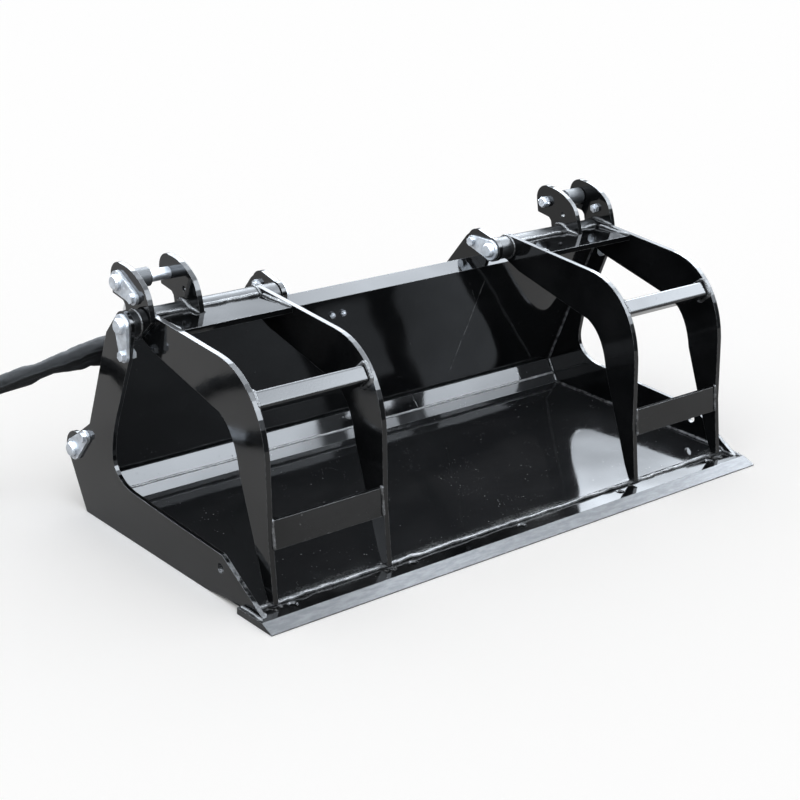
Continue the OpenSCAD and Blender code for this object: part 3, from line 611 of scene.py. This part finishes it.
# Angle from the sleeve's underside at which its overlap ends in a hem
HEM_ANGLE = 1.5
HEM_DEPTH = 0.19
HEM_RIDGE = 0.12
HEM_SOFTNESS = 0.1
# The hem fades out before this distance along the sleeve, in metres. Past it the sleeve stays within its
# radius, and so above the floor that it comes down to.
HEM_END = 0.6
HEM_FADE = 0.1


def sleeve_radius(distance, angle):
    folds = wave_at(distance * 48, math.cos(angle) * 1.6, math.sin(angle) * 1.6)
    ripple = wave_at(distance * 110, 7.0, 1.5 * math.cos(angle))
    hem_at = HEM_ANGLE + 0.3 * wave_at(distance * 14, 2.0, 0.0) + 0.3 * wave_at(distance * 42, 4.0, 0.0)
    below = hem_at - abs(angle - math.pi)
    under = clamped(below / HEM_SOFTNESS) * clamped((HEM_END - distance) / HEM_FADE)
    ridge = clamped(1 - abs(below + 0.06) / 0.2)
    shape = 0.985 + 0.09 * folds + 0.05 * ripple + HEM_RIDGE * ridge - HEM_DEPTH * under
    if distance > HEM_END:
        shape = min(shape, 0.995)
    return SLEEVE_R * shape * between(SLEEVE_WAIST, distance * 1000) / 1000


def flap_depth(distance):
    wave = 1 + 0.5 * wave_at(distance * 42, 11.0, 0.0)
    return between(SLEEVE_FLAP, distance * 1000) * wave / 1000


def make_flap(line):
    """The sleeve's lengthwise overlap, which sags below it in scallops."""
    distance = 0.0
    middle = []
    heights = []
    for i, point in enumerate(line):
        if i:
            distance += (point - line[i - 1]).length
        if SLEEVE_FLAP[1][0] < distance * 1000 < SLEEVE_FLAP[-1][0]:
            half = (SLEEVE_R / 1000 + flap_depth(distance)) / 2
            middle.append(point - Vector((0, 0, half)))
            heights.append(half)
    step = line_length(middle) / (len(middle) - 1)

    def radius(distance, angle):
        tall = heights[min(len(heights) - 1, round(distance / step))]
        crease = wave_at(distance * 55, 3.0 * math.cos(angle), 5.0)
        wide = (FLAP_HALF_WIDTH + 0.0025 * crease) * (1.0 if math.cos(angle) > 0 else 0.8)
        return tall * wide / math.hypot(wide * math.cos(angle), tall * math.sin(angle))

    mesh = tube_mesh("supply_sleeve_flap", middle, FLAP_SIDES, radius)
    return new_piece("supply_sleeve_flap", mesh, "bucket", sleeve_cloth)


def make_sleeve():
    path = sleeve_path()
    line = spaced(path, SLEEVE_STEP)
    mesh = tube_mesh("supply_sleeve_cloth", line, SLEEVE_SIDES, sleeve_radius)
    piece = new_piece("supply_sleeve_cloth", mesh, "bucket", sleeve_cloth)
    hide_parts("supply_sleeve", "supply_coil")
    make_flap(line)


make_sleeve()

# Weld beads
BEAD_STEP = 0.0012
BEAD_SIDES = 12
RIPPLE_PITCH = 0.0042
# The beads' wander comes from noise_vector, which takes its offsets from the clock unless it is seeded
WANDER_SEED = 7
noise.seed_set(WANDER_SEED)


def bead(name, body, points, radius, ripple=0.18, wander=0.0006, seed=0.0, smooth=False, finish=bead_paint):
    """A painted weld bead along points in the construction's millimetres, with ripples and lumps."""
    corners = [at(*p) for p in points]
    line = spaced(smooth_line(corners) if smooth else corners, BEAD_STEP)
    drift = []
    length = 0.0
    for i, point in enumerate(line):
        if i:
            length += (point - line[i - 1]).length
        drift.append(point + wander * noise.noise_vector(Vector((length * 34, seed * 7.3, 1.7))))
    size = radius / 1000

    def reach(distance, angle):
        phase = (distance + 0.0004 * math.cos(angle)) / RIPPLE_PITCH + 1.4 * wave_at(distance * 60, seed, 5.0)
        scale = 1 - ripple * abs(math.sin(math.pi * phase))
        lumps = 1 + 0.34 * wave_at(distance * 38 + seed * 9, angle * 0.4, seed)
        grains = 1 + 0.16 * wave_at(distance * 700, angle * 2.0, seed + 3)
        ends = min(1.0, 0.35 + min(distance, length - distance) / (1.6 * size))
        return size * scale * lumps * grains * ends

    return new_piece(name, tube_mesh(name, drift, BEAD_SIDES, reach), body, finish)


def ring(x, centre, radius, start=0, turn=360):
    """Points round the X axis, for a bead that goes round a pipe."""
    points = []
    count = max(8, round(turn / 15))
    for i in range(count + 1):
        angle = math.radians(start + turn * i / count)
        points.append((x, centre[0] + radius * math.cos(angle), centre[1] + radius * math.sin(angle)))
    return points


# Places across the bucket, as distances from its middle, and its axes as Y and Z
SIDE_IN = 582
EDGE_END = 594
RIB_FACES = {"in": 261, "out": 273}
LUG_FACES = {"in": 489, "out": 501}
WEAR_STRIP = 531
PIVOT = (443, 395)
BASE = (613, 114)
TUBE = (134, 342)
TUBE_TURN = 49.5
ARM_SEAMS = {"outer": 545, "inner": 316}
EAR_FACES = {"out": 469, "in": 457}
OUTER_EAR_FACE = 555.5
HEAD_R = 22.8
BOSS_R = 18


def back_y(z):
    """The back sheet's rear face."""
    return 576.61 - 0.378 * (z - 67.12)


def rear_seam(x, low, high):
    """A seam up the back sheet's rear face."""
    return [(x, back_y(z) + 1, z) for z in (low, high)]


def bucket_beads():
    # The floor-edge and back-foot beads take the lighter finishes, whose colour holds a painted highlight
    bead("bead_floor_edge", "bucket", [(-578, 66, 14.6), (578, 66, 14.6)], 3.3, ripple=0.14, wander=0.0022,
         finish=rubbed_highlit_bead)
    bead("bead_back_foot", "bucket", [(-580, 552.6, 37.9), (580, 552.6, 37.9)], 2.4, ripple=0.04,
         wander=0.0005, seed=1, finish=highlit_foot_bead)
    for side, s in (("left", -1), ("right", 1)):
        x = s * (SIDE_IN - 1)
        bead(f"{side}_bead_floor", "bucket",
             [(x, 40, 13), (x, 66, 14), (x, 72, 19), (x, 542, 19), (x, 553, 37)], 4.0,
             wander=0.0012, seed=2 + s)
        bead(f"{side}_bead_back", "bucket", [(x, 553, 38), (x, 570, 65), (x, 460, 356), (x, 484, 368)], 3.2,
             wander=0.001, seed=4 + s)
        bead(f"{side}_bead_edge_end", "bucket", [(s * EDGE_END, 32, 12.6), (s * EDGE_END, 92, 13)], 4.6,
             ripple=0.3, wander=0.0012, seed=14 + s)
        for face, fx in RIB_FACES.items():
            bead(f"{side}_bead_rib_{face}", "bucket", rear_seam(s * fx, 100, 350), 3.4, wander=0.001,
                 seed=16 + s)
        for face, fx in LUG_FACES.items():
            bead(f"{side}_bead_lug_{face}", "bucket", rear_seam(s * fx, 80, 166), 3.4, wander=0.001,
                 seed=18 + s)
        bead(f"{side}_bead_boss", "bucket", ring(x, BASE, BOSS_R), 2.6, seed=20 + s)
        bead(f"{side}_bead_wear_strip", "bucket",
             [(s * WEAR_STRIP, 100, 10.5), (s * WEAR_STRIP, 490, 10.5)], 2.8, seed=22 + s)


def square_loop(x, half):
    """A closed loop round the square cross tube, with its corners cut."""
    c, d = math.cos(math.radians(TUBE_TURN)), math.sin(math.radians(TUBE_TURN))
    soft = half - 4
    corners = [(half, -soft), (half, soft), (soft, half), (-soft, half), (-half, soft), (-half, -soft),
               (-soft, -half), (soft, -half), (half, -soft)]
    return [(x, TUBE[0] + a * c - b * d, TUBE[1] + a * d + b * c) for a, b in corners]


def grapple_beads():
    for side, s in (("left", -1), ("right", 1)):
        body = f"{side}_grapple"
        for end, seam in ARM_SEAMS.items():
            x = s * seam
            # The seams that the photograph shows are the thicker ones
            shown = (end == "inner") == (s < 0)
            bead(f"{side}_bead_tube_{end}", body, square_loop(x, 17.5 if shown else 16),
                 4.4 if shown else 3.6, ripple=0.22, wander=0.001, seed=6 + s)
            bead(f"{side}_bead_top_{end}", body, [(x, 334, 409), (x, 420, 409)], 4.2, ripple=0.3,
                 wander=0.0015, seed=8 + s)
            bead(f"{side}_bead_bar_{end}", body, [(x, 68, 108), (x, 75.5, 158), (x, 80, 160)], 3.0,
                 seed=9 + s)
            bead(f"{side}_bead_bar_rear_{end}", body, [(x, 77.5, 110), (x, 84.5, 156)], 2.4, seed=9.5 + s)
        bead(f"{side}_bead_pipe", body, [(s * 541, 423.5, 409.5), (s * 320, 423.5, 409.5)], 4.2, ripple=0.1,
             wander=0.0025, seed=7 + s)
        for face, fx in EAR_FACES.items():
            x = s * fx
            bead(f"{side}_bead_ear_{face}", body,
                 [(x, 394, 409), (x, 406, 409.5), (x, 418, 410.5), (x, 427, 414), (x, 436, 417.5),
                  (x, 447, 418), (x, 460, 414)], 4.6, ripple=0.08, wander=0.0008, seed=10 + s, smooth=True)
        x = s * OUTER_EAR_FACE
        bead(f"{side}_bead_outer_ear", body,
             [(x, 394, 415.5), (x, 412, 417), (x, 432, 418.5), (x, 448, 418.5)], 4.2, wander=0.0012,
             seed=12 + s)
        bead(f"{side}_bead_head", body, ring(s * 304.4, PIVOT, HEAD_R), 2.8, seed=24 + s)
        bead(f"{side}_bead_head_in", body, ring(s * 315.6, PIVOT, HEAD_R, 150, -290), 2.8, seed=25 + s)
        bead(f"{side}_bead_ear_head", body, ring(s * 566.4, PIVOT, HEAD_R), 2.8, seed=26 + s)


bucket_beads()
grapple_beads()

# Studio
FLOOR_HALF = 120.0
FLOOR_DROP = 0.0005
FLOOR_SEEN = (0.97, 0.97, 0.97, 1)
FLOOR_LIT = (0.8, 0.8, 0.8, 1)
SKY_R = 14.0
# Brightness of the overhead reflector in gloss, by the sine of its height above the horizon
SKY_STEPS = [(0.0, 0.12), (0.24, 0.2), (0.33, 1.7), (0.355, 3.1), (0.38, 5.0), (0.46, 16.0), (0.6, 20.0),
             (0.65, 22.0), (0.7, 15.0), (0.727, 12.4), (0.762, 9.8), (1.0, 7.0)]
SKY_TOP = 22.0
SKY_TINT = (0.925, 1.0, 1.09)
WORLD_LIGHT = 0.9
KEY_LIGHT = 0.45
KEY_SPREAD = math.radians(60)
KEY_TURN = (math.radians(25), math.radians(-20), 0)


def seen_directly(tree):
    """1 for camera, glossy and transmission rays, and 0 for light that bounces."""
    path = tree.nodes.new("ShaderNodeLightPath")
    seen = path.outputs["Is Camera Ray"]
    for kind in ("Is Glossy Ray", "Is Transmission Ray"):
        either = tree.nodes.new("ShaderNodeMath")
        either.operation = "MAXIMUM"
        tree.links.new(seen, either.inputs[0])
        tree.links.new(path.outputs[kind], either.inputs[1])
        seen = either.outputs[0]
    return seen


def make_floor():
    """A pale matte floor: near white when seen or reflected, a little darker as a source of bounced light."""
    f = Finish("studio_floor")
    f.set(Base_Color=f.mix(seen_directly(f.tree), FLOOR_LIT, FLOOR_SEEN), Roughness=1.0,
          Specular_IOR_Level=0.0)
    mesh = bpy.data.meshes.new("studio_floor")
    corners = [(a * FLOOR_HALF, b * FLOOR_HALF, 0) for a, b in ((-1, -1), (1, -1), (1, 1), (-1, 1))]
    mesh.from_pydata(corners, [], [(0, 1, 2, 3)])
    mesh.materials.append(f.material)
    floor = bpy.data.objects.new("studio_floor", mesh)
    floor.location.z = -FLOOR_DROP
    bpy.context.collection.objects.link(floor)


def sky_finish():
    """Glow of the dome: dim at the horizon, bright overhead, with faint clouds."""
    f = Finish("studio_sky")
    ramp = f.add("ShaderNodeValToRGB")
    f.feed(ramp.inputs["Fac"], f.maths("DIVIDE", f.axes()[2], SKY_R))
    steps = ramp.color_ramp.elements
    for i, (place, level) in enumerate(SKY_STEPS):
        step = steps[0] if i == 0 else steps[-1] if i == len(SKY_STEPS) - 1 else steps.new(place)
        step.position = place
        step.color = (*(level / SKY_TOP * c / SKY_TINT[2] for c in SKY_TINT), 1)
    clouds = f.ramp(f.noise(0.32, 3.0), 0.35, 0.65, 0.62, 1.25)
    f.tree.nodes.remove(f.shader)
    glow = f.add("ShaderNodeEmission")
    f.feed(glow.inputs["Color"], ramp.outputs["Color"])
    f.feed(glow.inputs["Strength"], f.times(clouds, SKY_TOP * SKY_TINT[2]))
    f.feed(f.tree.nodes["Material Output"].inputs["Surface"], glow.outputs[0])
    return f.material


def make_sky():
    """A soft dome that only gloss and metal see."""
    shape = bmesh.new()
    bmesh.ops.create_uvsphere(shape, u_segments=64, v_segments=32, radius=SKY_R)
    bmesh.ops.delete(shape, geom=[v for v in shape.verts if v.co.z < -0.1], context="VERTS")
    mesh = bpy.data.meshes.new("studio_sky")
    shape.to_mesh(mesh)
    shape.free()
    mesh.materials.append(sky_finish())
    sky = bpy.data.objects.new("studio_sky", mesh)
    bpy.context.collection.objects.link(sky)
    sky.visible_camera = False
    sky.visible_diffuse = False
    sky.visible_shadow = False
    sky.visible_transmission = False
    sky.visible_volume_scatter = False


def make_light():
    """A white world, a little dimmer as light than as background, and a soft key light."""
    world = bpy.data.worlds.new("studio")
    bpy.context.scene.world = world
    world.use_nodes = True
    tree = world.node_tree
    level = tree.nodes.new("ShaderNodeMapRange")
    tree.links.new(seen_directly(tree), level.inputs["Value"])
    level.inputs["To Min"].default_value = WORLD_LIGHT
    level.inputs["To Max"].default_value = 1.0
    background = tree.nodes["Background"]
    background.inputs["Color"].default_value = (1, 1, 1, 1)
    tree.links.new(level.outputs["Result"], background.inputs["Strength"])
    light = bpy.data.lights.new("key", "SUN")
    light.energy = KEY_LIGHT
    light.angle = KEY_SPREAD
    key = bpy.data.objects.new("key", light)
    key.rotation_euler = KEY_TURN
    key.visible_glossy = False
    bpy.context.collection.objects.link(key)


make_floor()
make_sky()
make_light()
bpy.context.scene.view_settings.view_transform = "Standard"
